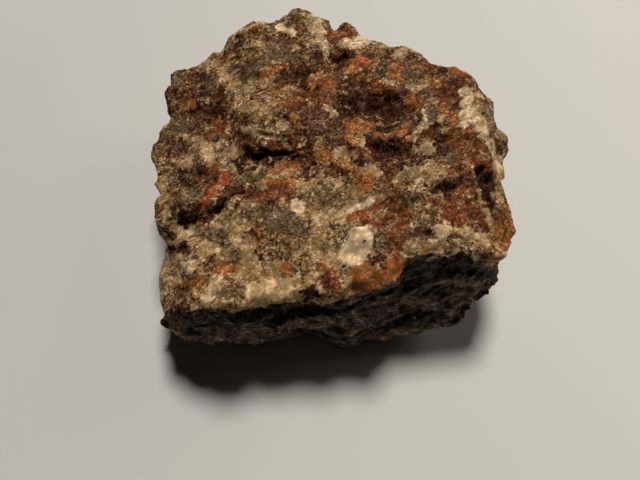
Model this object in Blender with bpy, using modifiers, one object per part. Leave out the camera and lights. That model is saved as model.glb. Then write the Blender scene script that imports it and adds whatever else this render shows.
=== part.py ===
"""A hand specimen of microdiorite: one broken chunk, 38 mm across, lying on its flattest side.

The stone is one solid. A ball is shaped between a plan of its widest edge, a plan of its lower
edge and a set of spot heights. Its broken relief is then carved in: scarps, hollows, humps, the
slanting ledges of the front break, and hackly chips all over. The underside is ground flat where
the stone rests. Axes: X to the right, Y away from the front break, Z up. Sizes are in millimetres
until the mesh is finished.
"""

import math

import bmesh
import bpy
import numpy as np
from mathutils import Vector, noise

MM = 0.001
STONE_NAME = "microdiorite"

# Plan of the widest edge, anticlockwise from the front left corner: x, y and height of the edge
WIDEST_EDGE = [
    (-16.8, -17.8, 6.6),
    (-15.0, -18.9, 8.4),
    (-13.2, -19.4, 10.0),
    (-9.4, -18.8, 10.8),
    (-6.2, -19.2, 11.0),
    (-4.0, -18.6, 11.2),
    (-2.8, -18.3, 11.2),
    (-2.1, -17.5, 11.3),
    (-1.4, -18.5, 11.2),
    (0.8, -18.6, 11.4),
    (1.8, -17.8, 11.6),
    (5.6, -16.6, 12.0),
    (7.6, -15.0, 12.4),
    (10.2, -14.1, 12.8),
    (12.2, -14.3, 12.8),
    (13.6, -15.0, 12.2),
    (15.0, -14.9, 11.4),
    (16.0, -14.0, 10.8),
    (16.9, -12.7, 10.6),
    (17.8, -11.4, 10.5),
    (17.6, -10.3, 10.5),
    (17.4, -7.7, 10.5),
    (17.1, -6.1, 10.5),
    (17.2, -4.3, 10.0),
    (18.1, -3.5, 9.5),
    (19.0, -0.8, 9.5),
    (18.1, 2.1, 9.5),
    (17.4, 5.7, 10.0),
    (16.1, 5.7, 10.5),
    (15.5, 6.0, 12.0),
    (14.7, 6.5, 13.5),
    (12.4, 7.0, 13.5),
    (11.2, 7.6, 13.2),
    (11.0, 9.0, 12.8),
    (9.4, 11.2, 12.8),
    (8.6, 11.9, 12.8),
    (7.2, 11.4, 12.6),
    (5.0, 11.8, 12.4),
    (3.6, 13.0, 12.2),
    (1.7, 15.8, 12.4),
    (0.7, 14.0, 12.0),
    (-0.2, 13.8, 12.0),
    (-1.0, 16.9, 12.0),
    (-3.1, 18.5, 12.0),
    (-4.3, 18.3, 12.0),
    (-5.2, 17.1, 12.0),
    (-8.2, 16.4, 12.0),
    (-10.2, 15.4, 12.0),
    (-11.3, 14.0, 11.5),
    (-13.5, 12.0, 10.5),
    (-17.1, 10.2, 10.0),
    (-18.1, 11.0, 9.5),
    (-18.8, 10.4, 9.5),
    (-19.0, 7.6, 9.5),
    (-18.8, 5.6, 9.0),
    (-17.4, 3.1, 9.0),
    (-18.5, 2.5, 9.0),
    (-19.3, 1.5, 9.0),
    (-19.4, -1.6, 8.5),
    (-18.5, -3.7, 8.5),
    (-17.9, -6.7, 8.5),
    (-18.4, -7.5, 8.5),
    (-18.1, -9.4, 8.5),
    (-17.0, -11.6, 7.5),
    (-17.1, -13.4, 7.2),
    (-17.0, -16.2, 7.0),
]

# Plan of the lower edge, where the walls turn under: x, y and height of the edge
LOWER_EDGE = [
    (-17.3, -18.0, 0.8),
    (-13.6, -18.7, 0.4),
    (-11.0, -19.2, 0.4),
    (-8.3, -19.2, 0.4),
    (-5.2, -18.8, 0.6),
    (-3.1, -18.9, 0.8),
    (-1.5, -19.0, 0.6),
    (2.1, -19.2, 0.4),
    (6.4, -18.6, 0.5),
    (10.4, -18.4, 1.0),
    (12.1, -18.5, 1.5),
    (13.5, -17.8, 2.8),
    (14.8, -16.8, 4.0),
    (15.8, -15.3, 5.4),
    (16.4, -13.0, 6.2),
    (15.8, -8.0, 4.5),
    (15.6, -4.0, 3.2),
    (16.8, 0.0, 3.6),
    (15.8, 4.5, 3.0),
    (13.2, 6.0, 2.6),
    (10.3, 9.0, 3.2),
    (7.3, 10.6, 2.2),
    (3.0, 12.6, 2.6),
    (-1.0, 14.0, 2.2),
    (-5.0, 15.4, 3.2),
    (-9.5, 13.8, 2.6),
    (-13.0, 10.4, 2.2),
    (-16.4, 8.0, 2.8),
    (-17.2, 2.0, 2.2),
    (-17.4, -2.0, 2.7),
    (-16.6, -7.0, 2.0),
    (-16.2, -11.0, 1.4),
    (-16.7, -15.0, 1.2),
]

# Spot heights of the broken top: x, y, height. The last seven lie along its right-hand ridge.
TOP_HEIGHTS = [
    (-12.0, -14.0, 10.6),
    (-13.0, -8.0, 10.6),
    (-13.0, -3.0, 10.9),
    (-14.0, 4.0, 10.5),
    (-13.0, 9.0, 10.9),
    (-8.0, -12.0, 11.2),
    (-7.0, -6.0, 11.6),
    (-7.0, 1.5, 13.4),
    (-8.0, 8.0, 12.8),
    (-9.0, 13.0, 12.4),
    (-3.0, -13.0, 11.5),
    (0.0, -8.0, 12.0),
    (1.0, -2.0, 12.4),
    (0.0, 4.0, 12.8),
    (-3.0, 10.0, 12.9),
    (-3.0, 15.0, 12.9),
    (4.0, -14.0, 12.0),
    (6.0, -8.0, 12.6),
    (6.0, 0.0, 12.3),
    (6.0, 7.0, 12.9),
    (3.0, 11.0, 12.7),
    (9.0, -12.0, 12.9),
    (11.0, -8.0, 13.2),
    (11.0, 0.0, 13.3),
    (11.0, 5.0, 13.2),
    (9.0, 9.0, 13.0),
    (14.6, 5.2, 13.3),
    (14.9, 2.2, 13.6),
    (15.1, -0.6, 13.6),
    (15.2, -4.6, 13.6),
    (14.9, -7.6, 13.4),
    (14.6, -10.2, 13.1),
    (14.2, -12.4, 12.6),
]
HEIGHT_FALLOFF = 3.2

# Steps in the top that face the front, each named for where it runs: points in plan, and its drop
SCARPS = {
    "under_the_grey_hump": ([(-10.6, -0.4), (-8.9, -2.6), (-6.6, -4.0), (-2.9, -3.9), (-0.8, -2.2)], 1.9),
    "left_gully": ([(-15.4, -10.0), (-12.1, -9.0), (-10.1, -7.3), (-8.0, -6.5)], 1.8),
    "left_overhang": ([(-17.4, -12.6), (-15.4, -13.0), (-13.4, -12.8)], 1.6),
    "right_shelf": ([(8.2, -7.6), (10.8, -8.0), (12.4, -8.2), (14.2, -7.4)], 1.6),
    "middle_shelf": ([(3.6, -2.6), (5.4, -2.2), (7.4, -2.4)], 0.9),
    "back_shelf": ([(3.2, 3.2), (5.2, 3.8), (7.6, 3.2)], 0.9),
    "slab_edge": ([(3.6, -10.4), (6.0, -9.8), (9.6, -9.9)], 0.6),
}
SCARP_REACH_BEHIND = 2.4
SCARP_REACH_IN_FRONT = 1.3
SCARP_FACE = 0.3

# Hollows broken out of the top: x, y, radius, depth
HOLLOWS = [
    (5.5, 1.9, 2.6, 0.9),
    (5.3, -3.5, 2.2, 0.9),
    (1.9, 3.1, 1.4, 0.8),
    (7.2, 4.6, 1.1, 0.5),
    (-3.7, 7.7, 1.7, 0.9),
    (1.0, 10.0, 1.5, 1.1),
    (6.1, -9.9, 1.6, 0.8),
    (11.0, -3.4, 1.5, 0.6),
    (0.2, -11.6, 1.2, 0.5),
    (15.6, -7.4, 1.4, 1.2),
    (-12.6, 2.4, 2.4, 0.7),
    (-10.9, -13.5, 1.0, 0.4),
]

# Humps left standing on the top: x, y, radius, height
HUMPS = [
    (-6.8, 1.4, 3.6, 0.8),
    (-3.3, 15.8, 2.6, 0.7),
    (-13.4, -3.6, 3.0, 0.7),
    (-15.8, -9.4, 2.0, 0.8),
    (3.0, -13.2, 2.6, 0.5),
    (9.4, -12.2, 2.4, 0.5),
    (13.0, 4.6, 2.0, 0.7),
    (-2.8, -13.6, 3.4, 0.5),
    (6.4, -6.0, 2.2, 0.6),
]

# Slanting ledges of the front break
LEDGE_SLANT = math.radians(24)
LEDGE_LENGTH = 7.0
LEDGE_SPACING = 2.3
LEDGE_DEPTH = 1.1

# Hackly chips all over: size of a chip, and how far it tilts out of the surface
CHIPS = [(6.4, 0.6), (3.1, 0.5), (1.7, 0.28)]
ROUGHNESS_SIZE = 1.3
ROUGHNESS_HEIGHT = 0.2

# Shaping of the ball, and the mesh that carries the relief
SECTORS = 180
RINGS = 90
TOP_SHARE = 0.52
WALL_SHARE = 0.24
GROUND_OFF = 0.9
FOOT_REACH = 0.7
FOOT_CALM = 1.8
EVEN_EDGE = 0.42
TRIANGLES = 9300


def smooth_step(share):
    share = np.clip(share, 0.0, 1.0)
    return share * share * (3.0 - 2.0 * share)


def edge_at(edge, azimuth):
    """Distance from the middle and height of a closed plan edge, in the direction azimuth."""
    ray = (math.cos(azimuth), math.sin(azimuth))
    for (x0, y0, z0), (x1, y1, z1) in zip(edge, edge[1:] + edge[:1]):
        across0 = ray[0] * y0 - ray[1] * x0
        across1 = ray[0] * y1 - ray[1] * x1
        if across0 > 0.0 or across1 <= 0.0:
            continue
        share = across0 / (across0 - across1)
        x = x0 + (x1 - x0) * share
        y = y0 + (y1 - y0) * share
        if x * ray[0] + y * ray[1] > 0.0:
            return math.hypot(x, y), z0 + (z1 - z0) * share
    raise ValueError(f"the edge has a gap at azimuth {azimuth:.3f}")


def top_height(x, y):
    """Height of the top before it is carved, weighed from the spot heights and the widest edge."""
    spots = np.array(TOP_HEIGHTS + WIDEST_EDGE)
    away = np.hypot(x[:, None] - spots[:, 0], y[:, None] - spots[:, 1]) + 0.35
    weights = away**-HEIGHT_FALLOFF
    return (weights * spots[:, 2]).sum(axis=1) / weights.sum(axis=1)


def shaped_ball():
    """A ball whose rings become the top, the walls and the underside of the stone."""
    mesh = bmesh.new()
    bmesh.ops.create_uvsphere(mesh, u_segments=SECTORS, v_segments=RINGS, radius=1.0)
    top_points = []
    for vert in mesh.verts:
        down = math.acos(max(-1.0, min(1.0, vert.co.z))) / math.pi
        azimuth = math.atan2(vert.co.y, vert.co.x)
        widest, edge_z = edge_at(WIDEST_EDGE, azimuth)
        lower, lower_z = edge_at(LOWER_EDGE, azimuth)
        if down <= TOP_SHARE:
            reach, height = widest * down / TOP_SHARE, edge_z
            top_points.append(vert)
        elif down <= TOP_SHARE + WALL_SHARE:
            share = (down - TOP_SHARE) / WALL_SHARE
            reach = widest + (lower - widest) * share
            height = edge_z + (lower_z - edge_z) * share
        else:
            share = (down - TOP_SHARE - WALL_SHARE) / (1.0 - TOP_SHARE - WALL_SHARE)
            reach = lower * (1.0 - share)
            height = lower_z - (lower_z + GROUND_OFF) * float(smooth_step(share / FOOT_REACH))
        vert.co = (reach * math.cos(azimuth), reach * math.sin(azimuth), height)
    places = np.array([vert.co for vert in top_points])
    for vert, height in zip(top_points, top_height(places[:, 0], places[:, 1])):
        vert.co.z = height
    return mesh


def side_of_line(x, y, line):
    """Signed distance from a line in plan, above zero behind it, and how near its middle that is."""
    best = np.full(len(x), np.inf)
    side = np.zeros(len(x))
    along = np.zeros(len(x))
    lengths = [math.dist(a, b) for a, b in zip(line, line[1:])]
    start = 0.0
    for (x0, y0), (x1, y1), length in zip(line, line[1:], lengths):
        dx, dy = (x1 - x0) / length, (y1 - y0) / length
        run = (x - x0) * dx + (y - y0) * dy
        held = np.clip(run, 0.0, length)
        away = np.hypot(x - x0 - held * dx, y - y0 - held * dy)
        nearer = away < best
        best = np.where(nearer, away, best)
        side = np.where(nearer, np.sign(dx * (y - y0) - dy * (x - x0)) * away, side)
        along = np.where(nearer, (start + held) / sum(lengths), along)
        start += length
    return side, np.sqrt(np.clip(np.sin(math.pi * along), 0.0, 1.0))


def scarp_lift(x, y, line, drop):
    """How far a scarp raises the ground behind it and lowers the ground in front of it."""
    side, middle = side_of_line(x, y, line)
    behind = 0.45 * np.exp(-np.clip(side, 0.0, None) / SCARP_REACH_BEHIND)
    in_front = -0.55 * np.exp(np.clip(side, None, 0.0) / SCARP_REACH_IN_FRONT)
    share = smooth_step(side / SCARP_FACE + 0.5)
    return drop * middle * (in_front + (behind - in_front) * share)


def dome(x, y, spot):
    """A round hump of height 1 and the spot's radius."""
    cx, cy, radius = spot[:3]
    inside = np.clip(1.0 - ((x - cx) ** 2 + (y - cy) ** 2) / radius**2, 0.0, None)
    return inside**1.5


def chip(point, size):
    """Height on a flat chip of that size: each cell of the stone breaks on a plane of its own."""
    place = point / size
    heart = noise.voronoi(place)[1][0]
    tilt = noise.cell_vector(heart * 7.31)
    return (place - heart).dot(tilt)


def ledge(point):
    """Slanting ledges of the front break, long along the slant and close across it."""
    along = point.x * math.cos(LEDGE_SLANT) + point.z * math.sin(LEDGE_SLANT)
    across = point.z * math.cos(LEDGE_SLANT) - point.x * math.sin(LEDGE_SLANT)
    return chip(Vector((along / LEDGE_LENGTH, point.y / 9.0, across / LEDGE_SPACING)), 1.0)


def carve(mesh):
    """Carves scarps, hollows and humps into the top, ledges into the front, and chips all over."""
    mesh.normal_update()
    places = np.array([vert.co for vert in mesh.verts])
    normals = np.array([vert.normal for vert in mesh.verts])
    x, y = places[:, 0], places[:, 1]
    lift = np.zeros(len(places))
    for line, drop in SCARPS.values():
        lift += scarp_lift(x, y, line, drop)
    for hollow in HOLLOWS:
        lift -= hollow[3] * dome(x, y, hollow)
    for hump in HUMPS:
        lift += hump[3] * dome(x, y, hump)
    lift *= smooth_step((normals[:, 2] - 0.15) / 0.4)
    frontness = smooth_step((-normals[:, 1] - 0.35) / 0.35)
    for vert, normal, rise, front in zip(mesh.verts, normals, lift, frontness):
        point = vert.co.copy()
        out = sum(height * chip(point, size) for size, height in CHIPS)
        out += ROUGHNESS_HEIGHT * noise.noise(point / ROUGHNESS_SIZE)
        out += LEDGE_DEPTH * front * ledge(point)
        out *= 0.25 + 0.75 * float(smooth_step((point.z + GROUND_OFF) / FOOT_CALM))
        vert.co = point + Vector(normal) * out
        vert.co.z += rise


def add_modifier(stone, kind, **settings):
    """Adds a modifier and makes its result the object's own mesh."""
    modifier = stone.modifiers.new(kind.title(), kind)
    for name, value in settings.items():
        setattr(modifier, name, value)
    graph = bpy.context.evaluated_depsgraph_get()
    shaped = bpy.data.meshes.new_from_object(stone.evaluated_get(graph))
    stone.modifiers.clear()
    stone.data = shaped


def even_out(stone):
    add_modifier(stone, "REMESH", mode="VOXEL", voxel_size=EVEN_EDGE)


def rework(stone, work):
    """Runs one step of bmesh work on the stone's mesh."""
    mesh = bmesh.new()
    mesh.from_mesh(stone.data)
    work(mesh)
    mesh.to_mesh(stone.data)
    mesh.free()


def grind_foot(mesh):
    """Cuts the underside flat at height 0 and closes the cut, which is what the stone rests on."""
    everything = mesh.verts[:] + mesh.edges[:] + mesh.faces[:]
    cut = bmesh.ops.bisect_plane(
        mesh, geom=everything, dist=0.002, plane_co=(0, 0, 0), plane_no=(0, 0, -1), clear_outer=True
    )
    rim = [item for item in cut["geom_cut"] if isinstance(item, bmesh.types.BMEdge)]
    for edge in rim:
        for vert in edge.verts:
            vert.co.z = 0.0
    bmesh.ops.holes_fill(mesh, edges=rim)
    stray = [vert for vert in mesh.verts if not vert.link_faces]
    bmesh.ops.delete(mesh, geom=stray, context="VERTS")
    bmesh.ops.triangulate(mesh, faces=mesh.faces[:])


def centre_and_scale(mesh):
    """Puts the origin at the bottom centre of the stone's box, and turns millimetres into metres."""
    places = np.array([vert.co for vert in mesh.verts])
    middle = (places.min(axis=0) + places.max(axis=0)) / 2
    bmesh.ops.translate(mesh, verts=mesh.verts[:], vec=(-middle[0], -middle[1], -places[:, 2].min()))
    bmesh.ops.scale(mesh, verts=mesh.verts[:], vec=(MM, MM, MM))


def stone_material():
    """Grey-brown groundmass stained by rust."""
    material = bpy.data.materials.new("weathered_microdiorite")
    material.use_nodes = True
    shader = material.node_tree.nodes["Principled BSDF"]
    shader.inputs["Base Color"].default_value = (0.17, 0.115, 0.07, 1.0)
    shader.inputs["Roughness"].default_value = 0.85
    shader.inputs["Metallic"].default_value = 0.0
    return material


def main():
    for old in list(bpy.data.objects):
        bpy.data.objects.remove(old)
    collection = bpy.data.collections.new("hand_specimen")
    bpy.context.scene.collection.children.link(collection)
    stone = bpy.data.objects.new(STONE_NAME, bpy.data.meshes.new(STONE_NAME))
    collection.objects.link(stone)
    ball = shaped_ball()
    ball.to_mesh(stone.data)
    ball.free()
    even_out(stone)
    rework(stone, carve)
    even_out(stone)
    faces = len(stone.data.polygons)
    add_modifier(stone, "DECIMATE", ratio=TRIANGLES / (2.0 * faces), use_collapse_triangulate=True)
    rework(stone, grind_foot)
    rework(stone, centre_and_scale)
    stone.data.name = STONE_NAME
    stone.data.materials.append(stone_material())
    stone.data.shade_flat()


main()
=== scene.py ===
import math

import bpy
import numpy as np
from mathutils import Matrix, Vector, noise


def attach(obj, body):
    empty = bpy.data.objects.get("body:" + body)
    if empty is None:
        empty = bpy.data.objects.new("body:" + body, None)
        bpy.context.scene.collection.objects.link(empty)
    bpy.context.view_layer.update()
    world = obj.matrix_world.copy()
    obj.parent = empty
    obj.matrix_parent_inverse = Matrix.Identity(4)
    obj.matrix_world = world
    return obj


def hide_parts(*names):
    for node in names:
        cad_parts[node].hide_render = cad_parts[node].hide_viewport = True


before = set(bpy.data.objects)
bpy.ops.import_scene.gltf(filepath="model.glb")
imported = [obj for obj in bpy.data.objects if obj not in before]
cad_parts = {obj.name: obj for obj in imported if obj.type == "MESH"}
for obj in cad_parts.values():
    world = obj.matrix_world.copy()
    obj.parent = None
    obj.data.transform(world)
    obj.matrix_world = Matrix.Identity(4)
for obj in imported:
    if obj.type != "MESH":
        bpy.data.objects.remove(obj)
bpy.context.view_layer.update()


# Camera
# Stands over the front break and looks steeply down on the stone, as a hand-held camera does.
# It comes first because the minerals on the stone are placed by what it sees.

MM = 0.001
IMAGE_WIDTH, IMAGE_HEIGHT = 640, 480
LENS_MM, SENSOR_MM = 31.5, 36.0
PIXELS_TO_LENS = IMAGE_WIDTH * LENS_MM / SENSOR_MM
CAMERA_PLACE = (-1.0 * MM, -37.4 * MM, 56.5 * MM)
DEGREES_DOWN = 60.7

camera_data = bpy.data.cameras.new("camera")
camera_data.lens = LENS_MM
camera_data.sensor_width = SENSOR_MM
camera_data.clip_start = 2 * MM
camera = bpy.data.objects.new("camera", camera_data)
camera.location = CAMERA_PLACE
camera.rotation_euler = (math.radians(90.0 - DEGREES_DOWN), 0.0, 0.0)
bpy.context.scene.collection.objects.link(camera)
bpy.context.scene.camera = camera


# The stone: its broken form
# One chunk of microdiorite with a hackly fracture all over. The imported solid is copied, and its
# mesh is made even and fine enough to carry the smaller breaks.

FINE_EDGE = 0.222 * MM
SAME_POINT = 0.01 * MM
ARRIS_SOFTNESS, ARRIS_ROUNDS = 0.5, 8

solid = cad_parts["microdiorite"]
stone = bpy.data.objects.new("broken_stone", solid.data.copy())
bpy.context.scene.collection.objects.link(stone)
bpy.ops.object.select_all(action="DESELECT")
stone.select_set(True)
bpy.context.view_layer.objects.active = stone
bpy.ops.object.mode_set(mode="EDIT")
bpy.ops.mesh.select_all(action="SELECT")
bpy.ops.mesh.remove_doubles(threshold=SAME_POINT)
bpy.ops.object.mode_set(mode="OBJECT")
remesh = stone.modifiers.new("even mesh", "REMESH")
remesh.mode = "VOXEL"
remesh.voxel_size = FINE_EDGE
bpy.ops.object.modifier_apply(modifier=remesh.name)
soften = stone.modifiers.new("soften arrises", "SMOOTH")
soften.factor = ARRIS_SOFTNESS
soften.iterations = ARRIS_ROUNDS
bpy.ops.object.modifier_apply(modifier=soften.name)

places = np.array([vert.co for vert in stone.data.vertices])
normals = np.array([vert.normal for vert in stone.data.vertices])
in_view = np.einsum("ij,ij->i", normals, np.array(camera.location) - places) > 0


# The stone: its minerals
# Grey-green groundmass with cream feldspar, dark hornblende, and rust where iron has weathered.
# Each mineral's patches lie where they are on the specimen; the dark strokes in slots and under steps are
# painted shade. Sides out of view get theirs by chance.

# Colour as the eye sees it, how rough it breaks, lift out of the surface in mm, how much of it is grains of
# other minerals, and which those are. The last three are the front break: its own skin, painted black shade,
# and its paler ledges.
MINERALS = {
    "olive": ((123, 101, 69), 1.05, 0.0, 0.10, ("tan", "brown", "tan")),
    "tan": ((169, 136, 95), 0.55, 0.0, 0.10, ("cream", "olive")),
    "brown": ((105, 70, 39), 1.1, 0.0, 0.16, ("dark_grain_and_shade", "tan", "rust", "ochre")),
    "cream": ((185, 154, 114), 0.3, 0.03, 0.12, ("tan", "olive")),
    "pale": ((230, 198, 157), 0.2, 0.06, 0.04, ("white",)),
    "pale slab": ((216, 182, 136), 0.2, 0.05, 0.08, ("tan", "cream")),
    "white": ((214, 186, 149), 0.3, 0.05, 0.14, ("cream", "tan", "olive")),
    "rusty slab": ((156, 94, 50), 0.35, 0.02, 0.08, ("rust", "ochre", "tan")),
    "orange": ((152, 94, 51), 0.6, 0.02, 0.3, ("ochre", "rust", "tan", "brown")),
    "ochre": ((150, 104, 50), 0.8, 0.02, 0.08, ("orange", "tan")),
    "rust": ((110, 60, 34), 0.7, 0.0, 0.2, ("brown", "dark_grain_and_shade", "tan", "orange")),
    "red": ((156, 78, 44), 0.6, 0.0, 0.22, ("orange", "rust", "cream")),
    "violet": ((86, 52, 36), 1.2, -0.03, 0.12, ("brown", "slate", "tan")),
    "slate": ((100, 80, 55), 0.75, -0.03, 0.12, ("olive", "brown")),
    # Dark hornblende grains, and also painted shade where its strokes lie in slots and under steps
    "dark_grain_and_shade": ((50, 25, 9), 1.3, -0.08, 0.10, ("brown", "rust")),
    "front": ((116, 98, 87), 0.4, -0.2, 0.10, ("painted_shade_black", "ledge")),
    # Painted black shade, under the edge of the top and in the deepest slots
    "painted_shade_black": ((34, 26, 19), 0.3, -0.2, 0.06, ("front",)),
    "ledge": ((166, 138, 118), 0.45, -0.1, 0.16, ("front", "violet")),
}

# Grounds: the broad areas of the top, as the camera sees them (x0, y0, x1, y1, width in pixels)
GROUNDS = {
    "olive": [
        (235, 45, 310, 30, 66), (250, 100, 272, 108, 60), (255, 222, 300, 225, 46),
        (375, 50, 428, 58, 30), (405, 245, 432, 245, 22), (490, 125, 505, 165, 30),
        (165, 150, 162, 215, 28), (420, 118, 430, 145, 26), (168, 305, 170, 330, 24),
        (305, 262, 303, 285, 22),
    ],
    "brown": [
        (185, 95, 220, 118, 50), (310, 100, 400, 140, 90), (330, 150, 395, 165, 60),
        (345, 75, 460, 85, 50), (192, 172, 236, 182, 28), (395, 205, 400, 245, 26),
        (450, 200, 475, 205, 40),
    ],
    "tan": [
        (180, 258, 300, 285, 70), (200, 235, 240, 250, 50), (320, 235, 350, 300, 50),
        (300, 190, 360, 200, 50), (420, 190, 432, 215, 44), (440, 245, 480, 250, 26),
        (190, 160, 245, 160, 40), (400, 175, 425, 175, 36),
    ],
}

# Patches: the single bodies of each mineral, and painted shade in slots and under steps, as the camera sees
# them (x0, y0, x1, y1, width in pixels)
PATCHES = {
    "white": [
        (218, 279, 206, 301, 9), (313, 20, 325, 44, 11), (348, 43, 363, 41, 11),
        (465, 93, 463, 125, 14), (472, 108, 482, 135, 13), (483, 125, 493, 155, 6),
        (497, 160, 500, 178, 9), (416, 178, 417, 179, 7), (423, 112, 425, 124, 4),
        (189, 232, 190, 232, 6), (187, 267, 188, 267, 10), (320, 290, 321, 291, 10),
        (505, 252, 505, 253, 6), (171, 213, 171, 213, 6), (222, 187, 223, 187, 4),
        (475, 257, 476, 257, 7), (247, 166, 247, 166, 3),
    ],
    "pale": [
        (353, 256, 361, 240, 23), (295, 205, 299, 208, 11), (435, 228, 445, 231, 17),
        (278, 27, 294, 33, 5), (352, 212, 374, 199, 6),
    ],
    "tan": [
        (406, 246, 430, 246, 17), (240, 104, 262, 112, 15), (262, 180, 262, 181, 12),
        (250, 270, 262, 280, 15), (380, 82, 392, 84, 5), (410, 140, 422, 128, 6),
        (152, 172, 153, 176, 6), (494, 165, 499, 205, 8),
    ],
    "cream": [
        (180, 280, 181, 280, 9), (175, 258, 176, 258, 7), (245, 131, 254, 135, 7),
        (264, 138, 270, 140, 6), (262, 84, 263, 84, 8), (273, 78, 274, 78, 6), (182, 162, 190, 165, 9),
        (207, 154, 212, 158, 9), (233, 154, 239, 151, 7), (318, 212, 332, 213, 12),
        (397, 53, 403, 52, 7), (407, 45, 415, 48, 9), (428, 148, 429, 148, 13),
        (408, 172, 415, 177, 11), (363, 142, 364, 142, 11), (413, 92, 427, 84, 4),
        (384, 80, 388, 81, 3), (412, 146, 419, 150, 5), (316, 77, 320, 79, 6), (276, 140, 285, 143, 7),
        (283, 172, 291, 170, 7), (270, 176, 276, 177, 6), (335, 155, 343, 153, 10),
        (367, 168, 375, 172, 11), (438, 193, 439, 193, 11), (460, 229, 473, 232, 12),
        (480, 233, 485, 238, 14), (478, 190, 482, 207, 7), (483, 208, 492, 225, 7),
        (335, 222, 347, 217, 6), (332, 112, 332, 112, 12), (327, 109, 327, 109, 10),
        (440, 118, 440, 118, 7), (318, 275, 318, 276, 7), (350, 278, 345, 292, 9),
        (225, 228, 240, 228, 6), (232, 240, 245, 246, 7), (205, 245, 215, 250, 6),
    ],
    "pale slab": [(251, 287, 287, 282, 9), (251, 295, 289, 290, 9), (252, 303, 290, 298, 9)],
    "rusty slab": [(362, 280, 391, 268, 30)],
    "orange": [
        (262, 77, 283, 67, 8), (313, 78, 330, 83, 12), (273, 93, 273, 93, 7), (285, 168, 295, 165, 14),
        (268, 178, 288, 182, 12), (393, 70, 397, 73, 14), (408, 102, 418, 102, 11),
        (378, 135, 403, 135, 7), (403, 135, 407, 125, 6), (352, 125, 365, 127, 15),
        (363, 178, 366, 180, 17), (445, 107, 446, 107, 11), (322, 267, 323, 268, 11),
        (187, 283, 195, 282, 12), (218, 268, 230, 268, 12), (288, 268, 288, 269, 11),
        (502, 230, 508, 242, 22), (506, 208, 506, 209, 9), (432, 83, 434, 83, 9),
        (455, 120, 457, 124, 9), (347, 218, 363, 213, 5), (185, 105, 193, 105, 7),
        (284, 104, 298, 102, 5), (450, 70, 463, 74, 12),
    ],
    "ochre": [
        (346, 69, 351, 70, 6), (352, 138, 356, 142, 8), (432, 84, 438, 84, 6), (318, 150, 330, 160, 9),
        (300, 150, 306, 158, 7), (296, 117, 299, 118, 7), (455, 192, 472, 189, 7),
        (342, 160, 350, 166, 8),
    ],
    "red": [
        (357, 63, 363, 62, 13), (203, 203, 212, 193, 8), (212, 193, 225, 180, 8),
        (223, 178, 224, 178, 8), (363, 215, 377, 207, 7), (390, 258, 395, 262, 12),
        (387, 280, 387, 280, 8), (475, 217, 475, 217, 9), (391, 67, 392, 67, 5),
        (331, 277, 332, 277, 6), (324, 85, 325, 86, 6), (285, 66, 287, 66, 5),
    ],
    "rust": [
        (332, 38, 343, 32, 13), (462, 138, 482, 162, 28), (442, 95, 452, 103, 17),
        (277, 187, 287, 193, 13), (258, 195, 278, 192, 9), (398, 205, 400, 242, 20),
        (447, 205, 475, 218, 28), (452, 188, 472, 190, 14), (330, 282, 331, 282, 15),
        (338, 288, 338, 289, 11), (217, 118, 218, 125, 10), (268, 147, 283, 148, 6),
        (295, 98, 312, 112, 18), (500, 217, 500, 218, 13), (432, 68, 463, 78, 16),
        (159, 153, 159, 153, 8), (408, 67, 408, 68, 9), (365, 220, 380, 223, 7), (376, 86, 388, 91, 12),
        (205, 170, 215, 172, 14), (366, 150, 370, 158, 7), (236, 136, 252, 143, 7),
    ],
    "violet": [
        (172, 95, 173, 97, 14), (183, 295, 184, 295, 14), (178, 315, 187, 305, 11),
        (380, 260, 380, 260, 10), (453, 235, 456, 235, 8), (331, 225, 331, 225, 8),
        (213, 259, 213, 259, 5), (178, 208, 195, 208, 10), (248, 122, 248, 122, 9),
        (308, 112, 322, 128, 16), (322, 130, 335, 132, 14), (345, 85, 352, 90, 12),
        (165, 150, 178, 150, 12), (442, 75, 457, 78, 8), (240, 66, 243, 72, 8), (303, 168, 310, 172, 9),
    ],
    "slate": [
        (262, 212, 296, 226, 20), (262, 60, 285, 50, 12), (245, 77, 258, 68, 10),
        (290, 58, 300, 62, 10), (323, 197, 332, 200, 16), (380, 246, 385, 238, 11),
        (403, 198, 412, 197, 11), (408, 232, 432, 233, 9), (225, 290, 238, 290, 9),
        (433, 113, 433, 114, 11), (425, 97, 425, 97, 9), (442, 150, 452, 155, 14),
        (383, 68, 383, 69, 9), (195, 169, 195, 169, 8), (177, 128, 178, 128, 14),
        (192, 192, 193, 197, 12), (208, 233, 222, 236, 9), (410, 77, 418, 78, 9),
        (430, 212, 432, 222, 9), (262, 178, 245, 175, 13), (175, 82, 176, 82, 11),
        (197, 160, 203, 166, 8),
    ],
    # Painted black shade in the slot on the right and under a step on the top
    "painted_shade_black": [(481, 171, 486, 184, 17), (256, 156, 284, 154, 7)],
    # Dark grains, and painted shade along the cracks, slots and steps that face the camera
    "dark_grain_and_shade": [
        (253, 157, 286, 153, 11), (288, 154, 304, 149, 8), (186, 222, 212, 213, 5),
        (212, 213, 232, 193, 5), (168, 249, 186, 248, 5), (370, 108, 400, 113, 16),
        (373, 148, 400, 152, 19), (345, 104, 352, 105, 14), (390, 95, 400, 95, 7),
        (380, 128, 388, 128, 7), (285, 75, 307, 75, 10), (239, 40, 239, 40, 5), (316, 57, 316, 58, 7),
        (338, 60, 345, 57, 9), (484, 182, 491, 206, 11), (307, 298, 315, 292, 7),
        (200, 108, 217, 115, 10), (364, 241, 365, 241, 3), (410, 231, 428, 233, 4),
        (258, 253, 258, 254, 5), (442, 67, 445, 72, 8), (431, 190, 472, 181, 6),
        (440, 149, 446, 153, 7), (306, 135, 314, 140, 7), (300, 120, 305, 126, 6),
        (238, 164, 242, 166, 6), (445, 196, 450, 200, 5), (285, 118, 286, 118, 4),
    ],
}

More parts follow.
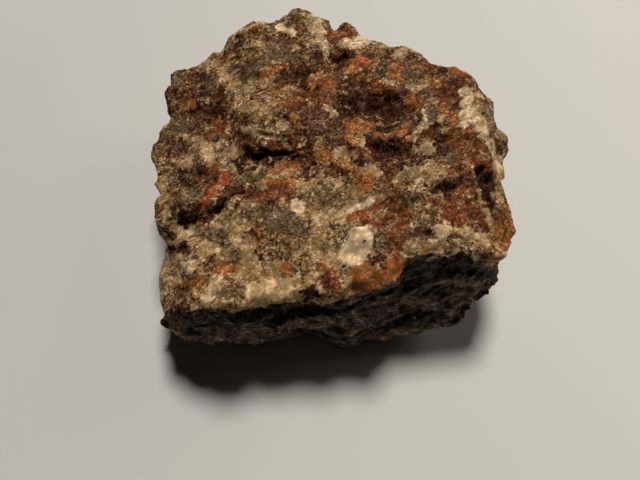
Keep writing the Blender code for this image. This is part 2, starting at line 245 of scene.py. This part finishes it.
# The upper edge of the front break, from left to right, as the camera sees it
FRONT_EDGE = [
    (178, 345), (183, 315), (200, 309), (222, 309), (232, 312), (250, 310), (275, 304), (290, 302),
    (305, 301), (322, 304), (340, 301), (350, 296), (367, 291), (385, 285), (400, 275), (407, 265),
    (412, 259), (427, 257), (440, 253), (455, 252), (471, 256), (475, 261), (495, 267), (505, 268),
]

# The blackest parts of the front break, which are painted shade under the edge of the top, and its palest
# ones, as the camera sees them
FRONT_PARTS = {
    "painted_shade_black": [
        (190, 317, 235, 317, 20), (235, 317, 290, 310, 18), (300, 309, 345, 308, 13),
        (360, 302, 400, 286, 9), (405, 280, 440, 268, 22), (430, 266, 470, 264, 20),
        (365, 312, 372, 318, 9), (400, 308, 408, 318, 7),
    ],
    "ledge": [
        (352, 335, 424, 329, 10), (293, 324, 350, 331, 8), (205, 336, 262, 341, 6),
        (440, 318, 476, 292, 5),
    ],
}

# How far from a stroke's middle it still counts, in half widths
GROUND_REACH, PATCH_REACH = 1.6, 1.0

# What the sides that the camera doesn't see are made of, and how much of each, out of 100
HIDDEN_SIDES = {
    "olive": 38, "tan": 18, "brown": 20, "rust": 8, "cream": 5, "slate": 6, "violet": 3, "orange": 2,
}

# How much of each ground is mottles of other minerals, and which those are
MOTTLES = {
    "olive": (0.14, ("tan", "brown")),
    "brown": (0.36, ("rust", "dark_grain_and_shade", "slate", "olive", "violet", "tan")),
    "tan": (0.12, ("cream", "olive", "olive")),
}

# Boundaries wander: how far, and over what distance, in mm, and the seed that fixes which way
WANDERS = [(0.36, 1.2), (0.2, 0.45)]
WANDER_SEED = 1795642513

# The size of hidden patches, mottles and grains in mm, and how much of the wandering each follows
HIDDEN_PATCH, HIDDEN_WANDER = 2.4, 2.0
MOTTLE, MOTTLE_WANDER = 1.0, 1.2
GRAIN, GRAIN_WANDER = 0.45, 0.4

# How much of the wandering a patch's outline follows, and how much more the roughest one does
SMOOTH_OUTLINE, ROUGH_OUTLINE = 0.3, 0.7

# The edge of the front break: how much of the wandering it follows, and how soft it is, in pixels
FRONT_WANDER, FRONT_SOFTNESS = 0.4, 4.0

# Out of view, the front break starts where the surface leans this far forwards, and is full past it
LEAN_START, LEAN_RANGE = 0.1, 0.2


def smooth_step(share):
    share = np.clip(share, 0.0, 1.0)
    return share * share * (3.0 - 2.0 * share)


def picture_place(places):
    """Where the camera sees points of the stone, in pixels from the picture's top left."""
    turn = np.array(Matrix.Rotation(camera.rotation_euler.x, 3, "X"))
    seen = (places - np.array(camera.location)) @ turn
    across = IMAGE_WIDTH / 2 - PIXELS_TO_LENS * seen[:, 0] / seen[:, 2]
    down = IMAGE_HEIGHT / 2 + PIXELS_TO_LENS * seen[:, 1] / seen[:, 2]
    return np.column_stack([across, down])


def stroke_share(spots, stroke):
    """How far spots lie from the middle of a stroke (x0, y0, x1, y1, width): 0 on it, 1 at its edge."""
    x0, y0, x1, y1, width = stroke
    start, run = np.array([x0, y0]), np.array([x1 - x0, y1 - y0])
    along = np.clip((spots - start) @ run / max(run @ run, 0.01), 0.0, 1.0)
    return np.linalg.norm(spots - start - along[:, None] * run, axis=1) / (width / 2)


def cell_chances(place, count):
    """Fixed random shares for the cell of the rock that a place is in."""
    heart = noise.voronoi(place)[1][0]
    return [noise.cell(heart * 5.17 + Vector((13.0 * turn, 0.0, 0.0))) for turn in range(count)]


def one_of(names_to_pick, chance):
    """A mineral's number for each chance, out of the minerals named."""
    picks = np.array([names.index(name) for name in names_to_pick])
    return picks[np.minimum((chance * len(picks)).astype(int), len(picks) - 1)]


noise.seed_set(WANDER_SEED)
names = list(MINERALS)
wandered = np.empty_like(places)
hidden_chance = np.empty(len(places))
mottle_chance = np.empty((len(places), 2))
grain_chance = np.empty((len(places), 3))
for index, place in enumerate(places / MM):
    point = Vector(place)
    bend = sum((far * noise.noise_vector(point / over) for far, over in WANDERS), Vector())
    wandered[index] = place + np.array(bend)
    hidden_chance[index] = cell_chances((point + HIDDEN_WANDER * bend) / HIDDEN_PATCH, 1)[0]
    mottle_chance[index] = cell_chances((point + MOTTLE_WANDER * bend) / MOTTLE, 2)
    grain_chance[index] = cell_chances((point + GRAIN_WANDER * bend) / GRAIN, 3)

# Sides out of view first, then the grounds, their mottles and the patches over them
hidden_shares = np.cumsum(list(HIDDEN_SIDES.values())) / sum(HIDDEN_SIDES.values())
hidden_picks = np.array([names.index(name) for name in HIDDEN_SIDES])
mineral = hidden_picks[np.minimum(np.searchsorted(hidden_shares, hidden_chance), len(hidden_picks) - 1)]

picture = picture_place(places)
wandered_picture = picture_place(wandered * MM)
nearest = np.full(len(places), GROUND_REACH)
for name, strokes in GROUNDS.items():
    for stroke in strokes:
        share = stroke_share(wandered_picture, stroke)
        here = in_view & (share < nearest)
        nearest[here] = share[here]
        mineral[here] = names.index(name)
ground = mineral.copy()
for name, (mottled, mottles) in MOTTLES.items():
    here = (mottle_chance[:, 0] < mottled) & (ground == names.index(name))
    mineral[here] = one_of(mottles, mottle_chance[here, 1])
nearest = np.full(len(places), PATCH_REACH)
for name, strokes in PATCHES.items():
    ragged = MINERALS[name][1]
    spots = picture + (SMOOTH_OUTLINE + ROUGH_OUTLINE * ragged) * (wandered_picture - picture)
    for stroke in strokes:
        share = stroke_share(spots, stroke) + ragged * (grain_chance[:, 2] - 0.5)
        here = in_view & (share < nearest)
        nearest[here] = share[here]
        mineral[here] = names.index(name)

# The front break is one weathered joint, up to the edge of the top, with painted black shade just under that
# edge
edge_across, edge_down = np.array(FRONT_EDGE).T
spots = (1.0 - FRONT_WANDER) * picture + FRONT_WANDER * wandered_picture
below_edge = spots[:, 1] - np.interp(spots[:, 0], edge_across, edge_down, left=IMAGE_HEIGHT)
seen_front = smooth_step(0.5 + below_edge / FRONT_SOFTNESS)
hidden_front = smooth_step((-normals[:, 1] - LEAN_START) / LEAN_RANGE)
front = seen_front * np.where(in_view, 1.0, hidden_front)
mineral[front > 0.5] = names.index("front")
for name, strokes in FRONT_PARTS.items():
    for stroke in strokes:
        here = in_view & (front > 0.5) & (stroke_share(wandered_picture, stroke) < PATCH_REACH)
        mineral[here] = names.index(name)


# The stone: its small relief
# Hackly chips of the fracture, each breaking on a flat plane of its own, narrow cracks, and the
# crumpled ledges of the front break. Feldspar and the rusty slabs break smoother than the rest.

# Chip size, and how far its planes tilt out of the surface, in mm
SMALL_CHIPS = [(2.1, 0.16), (1.05, 0.15), (0.6, 0.04)]

# Folds of the front break, long across it and close up and down it: length, spacing and depth in mm
FOLDS = [(5.0, 1.4, 0.55), (2.6, 0.6, 0.28)]
FOLD_CREST, FOLD_CREASE = 0.6, 1.8

# Folds fan out: degrees that they slant in the middle, and more for each mm to the right, between
# two places across the stone in mm. They also lean back with the break.
FAN_SLANT, FAN_GAIN, FAN_LEFT, FAN_RIGHT = 4.0, 1.3, -10.0, 18.0
FOLD_LEAN = 0.3

# Narrow cracks and holes, by where the camera sees them: x0, y0, x1, y1, width in pixels, depth in mm.
# Below zero are the places that stand proud.
CRACKS = [
    (254, 157, 287, 154, 9, 0.5),
    (288, 154, 302, 150, 5, 0.3),
    (168, 249, 186, 248, 4, 0.3),
    (374, 110, 398, 113, 12, 0.2),
    (377, 149, 398, 152, 14, 0.2),
    (343, 105, 354, 105, 10, 0.2),
    (287, 75, 306, 75, 8, 0.3),
    (481, 171, 486, 183, 15, 1.1),
    (484, 182, 492, 206, 9, 0.8),
    (256, 130, 283, 136, 32, -0.8),
    (214, 206, 242, 189, 22, -0.5),
    (466, 312, 486, 293, 18, 0.8),
    (185, 334, 215, 338, 16, -0.5),
    (160, 321, 164, 324, 9, 0.6),
    (229, 93, 229, 122, 4, 0.2),
    (338, 60, 346, 57, 7, 0.25),
    (403, 236, 434, 234, 5, 0.2),
    (245, 212, 250, 222, 4, 0.2),
    (320, 222, 330, 226, 5, 0.2),
]

# How much of the relief is left at the very foot of the stone, to grow to all of it just above
FOOT_RELIEF = 0.2


def chip(place):
    """Height on flat chips one unit across: each cell of the rock breaks on a plane of its own."""
    heart = noise.voronoi(place)[1][0]
    return (place - heart).dot(noise.cell_vector(heart * 7.31))


roughness = np.array([MINERALS[name][1] for name in names])[mineral]
settled_lift = np.array([MINERALS[name][2] for name in names])[mineral]
lift = settled_lift.copy()
for *stroke, depth in CRACKS:
    lift -= depth * smooth_step(1.0 - stroke_share(picture, stroke)) * in_view
for index, (place, folding) in enumerate(zip(places / MM, front)):
    point = Vector(place)
    out = min(roughness[index], 1.0) * sum(tilt * chip(point / size) for size, tilt in SMALL_CHIPS)
    if folding > 0.0:
        slant = math.radians(FAN_SLANT + FAN_GAIN * max(FAN_LEFT, min(FAN_RIGHT, point.x)))
        along = point.x * math.cos(slant) + point.z * math.sin(slant)
        across = point.z * math.cos(slant) - point.x * math.sin(slant) + FOLD_LEAN * point.y
        for length, spacing, depth in FOLDS:
            crease = abs(noise.noise(Vector((along / length, 7.0 * depth, across / spacing))))
            out += depth * folding * (FOLD_CREST - FOLD_CREASE * crease)
    lift[index] += out
lift *= np.clip(FOOT_RELIEF + places[:, 2] / MM, 0.0, 1.0)
places += normals * lift[:, None] * MM
places[:, 2] = np.maximum(places[:, 2], 0.0)
stone.data.vertices.foreach_set("co", places.ravel())
stone.data.update()


# The stone: its colour and finish
# Every grain keeps its mineral's colour, a little lighter or darker, and some grains belong to another
# mineral. Hollows are painted darker, as shade, and what stands proud a little lighter, as light. The faces
# are dull, with a few that glint.

# How much of a guest grain's colour is still that of the mineral around it
HOST_TINGE = 0.45

# The darkest grain and mottle, and how much lighter the lightest is
GRAIN_SHADES, MOTTLE_SHADES = (0.88, 0.24), (0.92, 0.16)

# Painted shade in hollows and painted light on what stands proud: the depth in mm from the bottom of a
# hollow to the top of what stands proud
CAVITY_SHADE_RANGE = 0.9


def linear(colour):
    """A colour as the eye sees it, 0 to 255, as the light that a material reflects."""
    share = np.array(colour) / 255.0
    return np.where(share <= 0.04045, share / 12.92, ((share + 0.055) / 1.055) ** 2.4)


colours = np.array([linear(MINERALS[name][0]) for name in names])
settled = mineral.copy()
for name, (_, _, _, share, guests) in MINERALS.items():
    here = (mineral == names.index(name)) & (grain_chance[:, 0] < share)
    settled[here] = one_of(guests, grain_chance[here, 1])
colour = (1.0 - HOST_TINGE) * colours[settled] + HOST_TINGE * colours[mineral]
grain_shade = GRAIN_SHADES[0] + GRAIN_SHADES[1] * grain_chance[:, 0]
mottle_shade = MOTTLE_SHADES[0] + MOTTLE_SHADES[1] * mottle_chance[:, 1]
colour *= (grain_shade * mottle_shade)[:, None]

painted = stone.data.attributes.new("mineral", "FLOAT_COLOR", "POINT")
painted.data.foreach_set("color", np.column_stack([colour, np.ones(len(colour))]).ravel())
marks = {
    # How deep each place lies, for the painted shade in hollows and the painted light on what stands proud
    "cavity_shade": np.clip(0.5 + (lift - settled_lift) / CAVITY_SHADE_RANGE, 0.0, 1.0),
    "coarse": roughness,
    "folded": front,
}
for name, values in marks.items():
    stone.data.attributes.new(name, "FLOAT", "POINT").data.foreach_set("value", values)

material = bpy.data.materials.new("weathered_microdiorite")
material.use_nodes = True
tree = material.node_tree
shader = tree.nodes["Principled BSDF"]


def node(kind, **settings):
    """Adds a node to the tree in hand. A setting that names an input is its value or its link."""
    made = tree.nodes.new(kind)
    for name, value in settings.items():
        if hasattr(made, name):
            setattr(made, name, value)
            continue
        socket = made.inputs[int(name[1:]) if name[1:].isdigit() else name.replace("_", " ")]
        if isinstance(value, bpy.types.NodeSocket):
            tree.links.new(value, socket)
        else:
            socket.default_value = value
    return made


def times(first, second):
    return node("ShaderNodeMath", operation="MULTIPLY", _0=first, _1=second).outputs[0]


def power(value, exponent):
    return node("ShaderNodeMath", operation="POWER", _0=value, _1=exponent).outputs[0]


def mixed(share, none, full, **settings):
    """One value where the share is 0 and another where it is 1."""
    return node("ShaderNodeMix", data_type="FLOAT", **settings, _0=share, _2=none, _3=full).outputs[0]


def spread(value, reach, gives):
    """A value over its reach, from low to high, spread out between the two that it gives."""
    (low, high), (at_low, at_high) = reach, gives
    limits = {"From_Min": low, "From_Max": high, "To_Min": at_low, "To_Max": at_high}
    return node("ShaderNodeMapRange", Value=value, **limits).outputs[0]


def stepped(chance, lights):
    """The light for a chance, from the places where each step starts and its light."""
    ramp_node = node("ShaderNodeValToRGB", Fac=chance)
    ramp = ramp_node.color_ramp
    ramp.interpolation = "CONSTANT"
    ramp.elements.remove(ramp.elements[1])
    for start, light in lights:
        step = ramp.elements[0] if start == 0.0 else ramp.elements.new(start)
        step.color = (light, light, light, 1.0)
    return ramp_node.outputs[0]


# How many grits, crystals, blotches, pits and seams lie side by side in a metre
GRITS, CRYSTALS, BLOTCHES, PITS, SEAMS = 6000.0, 2300.0, 620.0, 2600.0, 430.0

# Where each step of light starts among the chances, its light, and what all of them are raised by
GRIT_STEPS, GRIT_GAIN = [(0.0, 0.04), (0.26, 0.27), (0.62, 0.4), (0.86, 0.9)], 3.3
CRYSTAL_STEPS, CRYSTAL_GAIN = [(0.0, 0.5), (0.14, 0.6), (0.9, 0.8)], 1.6

where = node("ShaderNodeTexCoord").outputs["Object"]
mineral_colour = node("ShaderNodeAttribute", attribute_name="mineral").outputs["Color"]
painted_cavity_shade = node("ShaderNodeAttribute", attribute_name="cavity_shade").outputs["Fac"]
coarseness = node("ShaderNodeAttribute", attribute_name="coarse").outputs["Fac"]
front_break = node("ShaderNodeAttribute", attribute_name="folded").outputs["Fac"]

grit = node("ShaderNodeTexVoronoi", Vector=where, Scale=GRITS)
grit_chance = node("ShaderNodeSeparateColor", Color=grit.outputs["Color"])
grit_light = times(stepped(grit_chance.outputs["Red"], GRIT_STEPS), GRIT_GAIN)
crystal = node("ShaderNodeTexVoronoi", Vector=where, Scale=CRYSTALS)
crystal_chance = node("ShaderNodeSeparateColor", Color=crystal.outputs["Color"])
crystal_light = times(stepped(crystal_chance.outputs["Green"], CRYSTAL_STEPS), CRYSTAL_GAIN)
pits = node("ShaderNodeTexNoise", Vector=where, Scale=PITS, Detail=4.0, Roughness=0.65)
# Pits in the crystal faces are painted darker, as shade in them
pit_shade_light = spread(pits.outputs["Fac"], reach=(0.3, 0.52), gives=(0.65, 1.1))

# Dark seams wander through the rock, and fade in and out along their length
SEAM_WANDER = 0.9 * MM
blotch = node("ShaderNodeTexNoise", Vector=where, Scale=BLOTCHES, Detail=3.0, Roughness=0.6)
aside = node("ShaderNodeVectorMath", operation="SCALE", _0=blotch.outputs["Color"], Scale=SEAM_WANDER)
beside = node("ShaderNodeVectorMath", operation="ADD", _0=where, _1=aside.outputs[0])
seam = node("ShaderNodeTexVoronoi", feature="DISTANCE_TO_EDGE", Vector=beside.outputs[0], Scale=SEAMS)
seam_depth = spread(blotch.outputs["Fac"], reach=(0.46, 0.56), gives=(1.0, 0.25))
seam_light = spread(seam.outputs["Distance"], reach=(0.015, 0.07), gives=(seam_depth, 1.0))

# All the fine detail counts for more where the mineral is coarse
fine_light = times(times(times(grit_light, crystal_light), pit_shade_light), seam_light)
fine_light = mixed(coarseness, 1.0, fine_light, clamp_factor=False)
blotch_light = spread(blotch.outputs["Fac"], reach=(0.3, 0.7), gives=(0.9, 1.1))
# Painted shade in hollows, painted light on what stands proud
cavity_shade_light = spread(painted_cavity_shade, reach=(0.05, 0.65), gives=(0.74, 1.08))
light = times(fine_light, times(blotch_light, cavity_shade_light))
light = node("ShaderNodeClamp", Value=light, Min=0.15, Max=2.6).outputs[0]

# Dark grains are redder and pale ones greyer than the mineral as a whole
shade = node("ShaderNodeMath", operation="MINIMUM", _0=light, _1=1.0).outputs[0]
red = times(power(light, 0.81), power(shade, -0.18))
blue = times(power(light, 1.36), power(shade, 0.5))
tint = node("ShaderNodeCombineXYZ", X=red, Y=light, Z=blue)
tinted = node("ShaderNodeVectorMath", operation="MULTIPLY", _0=mineral_colour, _1=tint.outputs[0])

# Hairlines run along the folds of the front break
HAIR_SLANT = math.radians(14.0)
HAIRS_PER_METRE = (330.0, 900.0, 1500.0)
along_folds = node("ShaderNodeMapping", Vector=where, Rotation=(0.0, HAIR_SLANT, 0.0), Scale=HAIRS_PER_METRE)
hair = node("ShaderNodeTexNoise", Vector=along_folds.outputs[0], Scale=1.0, Detail=3.0, Roughness=0.6)
off_line = node("ShaderNodeMath", operation="SUBTRACT", _0=hair.outputs["Fac"], _1=0.5)
off_line = node("ShaderNodeMath", operation="ABSOLUTE", _0=off_line.outputs[0])
hair_light = spread(off_line.outputs[0], reach=(0.004, 0.03), gives=(2.0, 0.8))
hair_light = mixed(front_break, 1.0, hair_light)
finished = node("ShaderNodeVectorMath", operation="SCALE", _0=tinted.outputs[0], Scale=hair_light)
tree.links.new(finished.outputs[0], shader.inputs["Base Color"])

# A few grits glint: what share of them, and how rough the dull and the glinting ones are
GLINTS, DULL, GLINTING = 0.06, 0.8, 0.35
glint = node("ShaderNodeMath", operation="LESS_THAN", _0=grit_chance.outputs["Blue"], _1=GLINTS)
finish = spread(glint.outputs[0], reach=(0.0, 1.0), gives=(DULL, GLINTING))
tree.links.new(finish, shader.inputs["Roughness"])
shader.inputs["Specular IOR Level"].default_value = 0.08

# Crystals break on flat faces that tilt, with pits in them
FACE_TILT, PIT_DEPTH = 0.4, 0.06 * MM
offset = node("ShaderNodeVectorMath", operation="SUBTRACT", _0=where, _1=crystal.outputs["Position"])
tilt = node("ShaderNodeVectorMath", operation="SUBTRACT", _0=crystal.outputs["Color"], _1=(0.5, 0.5, 0.5))
face = node("ShaderNodeVectorMath", operation="DOT_PRODUCT", _0=offset.outputs[0], _1=tilt.outputs[0])
pit = times(pits.outputs["Fac"], PIT_DEPTH)
height = node("ShaderNodeMath", operation="MULTIPLY_ADD", _0=face.outputs["Value"], _1=FACE_TILT, _2=pit)
bump = node("ShaderNodeBump", Strength=1.0, Distance=1.0, Height=times(height.outputs[0], coarseness))
tree.links.new(bump.outputs[0], shader.inputs["Normal"])

stone.data.materials.clear()
stone.data.materials.append(material)
stone.data.shade_smooth()
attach(stone, "root")
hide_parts("microdiorite")


# The floor
# A plain pale matt surface, far wider than the view. Its colour has painted light: a little lighter and
# warmer from the left of the stone to the right of it, as if more light fell on the right.

FLOOR_WIDTH = 1.6
# Painted light on the floor: how far either side of the stone it changes, in metres, and its shaded left and
# lit right tones
PAINTED_LIGHT_REACH = 0.04
SHADED_LEFT_TONE, LIT_RIGHT_TONE = (0.503, 0.489, 0.468, 1.0), (0.606, 0.583, 0.532, 1.0)

bpy.ops.object.select_all(action="DESELECT")
bpy.ops.mesh.primitive_plane_add(size=FLOOR_WIDTH)
floor = bpy.context.object
floor.name = "floor"
pale_floor = bpy.data.materials.new("pale_floor")
pale_floor.use_nodes = True
tree = pale_floor.node_tree
floor_shader = tree.nodes["Principled BSDF"]
floor_place = node("ShaderNodeSeparateXYZ", Vector=node("ShaderNodeTexCoord").outputs["Object"])
painted_light_share = spread(floor_place.outputs["X"], reach=(-PAINTED_LIGHT_REACH, PAINTED_LIGHT_REACH), gives=(0.0, 1.0))
painted_light_tone = node("ShaderNodeMix", data_type="RGBA", _0=painted_light_share, _6=SHADED_LEFT_TONE, _7=LIT_RIGHT_TONE)
tree.links.new(painted_light_tone.outputs["Result"], floor_shader.inputs["Base Color"])
floor_shader.inputs["Roughness"].default_value = 0.9
floor.data.materials.append(pale_floor)


# Lights
# One soft key from behind and above, which rakes the top and leaves the front break in shade. A
# weak light low on the right, and a very weak fill from all round, open up the shadows.


def soft_light(name, place, aim, width, energy, colour):
    """A round soft lamp at a place, turned to its aim."""
    bpy.ops.object.light_add(type="AREA", location=place)
    lamp = bpy.context.object
    lamp.name = name
    lamp.rotation_euler = (Vector(aim) - lamp.location).to_track_quat("-Z", "Y").to_euler()
    lamp.data.shape = "DISK"
    lamp.data.size = width
    lamp.data.energy = energy
    lamp.data.color = colour


soft_light("key", (0.08, 0.51, 0.96), (0.0, 0.0, 0.01), 0.28, 12.7, (1.0, 0.965, 0.92))
soft_light("side", (0.62, 0.36, 0.33), (0.0, 0.0, 0.0), 0.45, 1.1, (1.0, 0.93, 0.86))

# The fill is much weaker than the pale backdrop that the camera sees
FILL_STRENGTH, BACKDROP_STRENGTH = 0.012, 0.5
world = bpy.data.worlds.new("room")
world.use_nodes = True
tree = world.node_tree
backdrop = tree.nodes["Background"]
backdrop.inputs["Color"].default_value = (1.0, 0.95, 0.9, 1.0)
seen_directly = node("ShaderNodeLightPath").outputs["Is Camera Ray"]
strength = spread(seen_directly, reach=(0.0, 1.0), gives=(FILL_STRENGTH, BACKDROP_STRENGTH))
tree.links.new(strength, backdrop.inputs["Strength"])
bpy.context.scene.world = world
bpy.context.scene.view_settings.view_transform = "Standard"
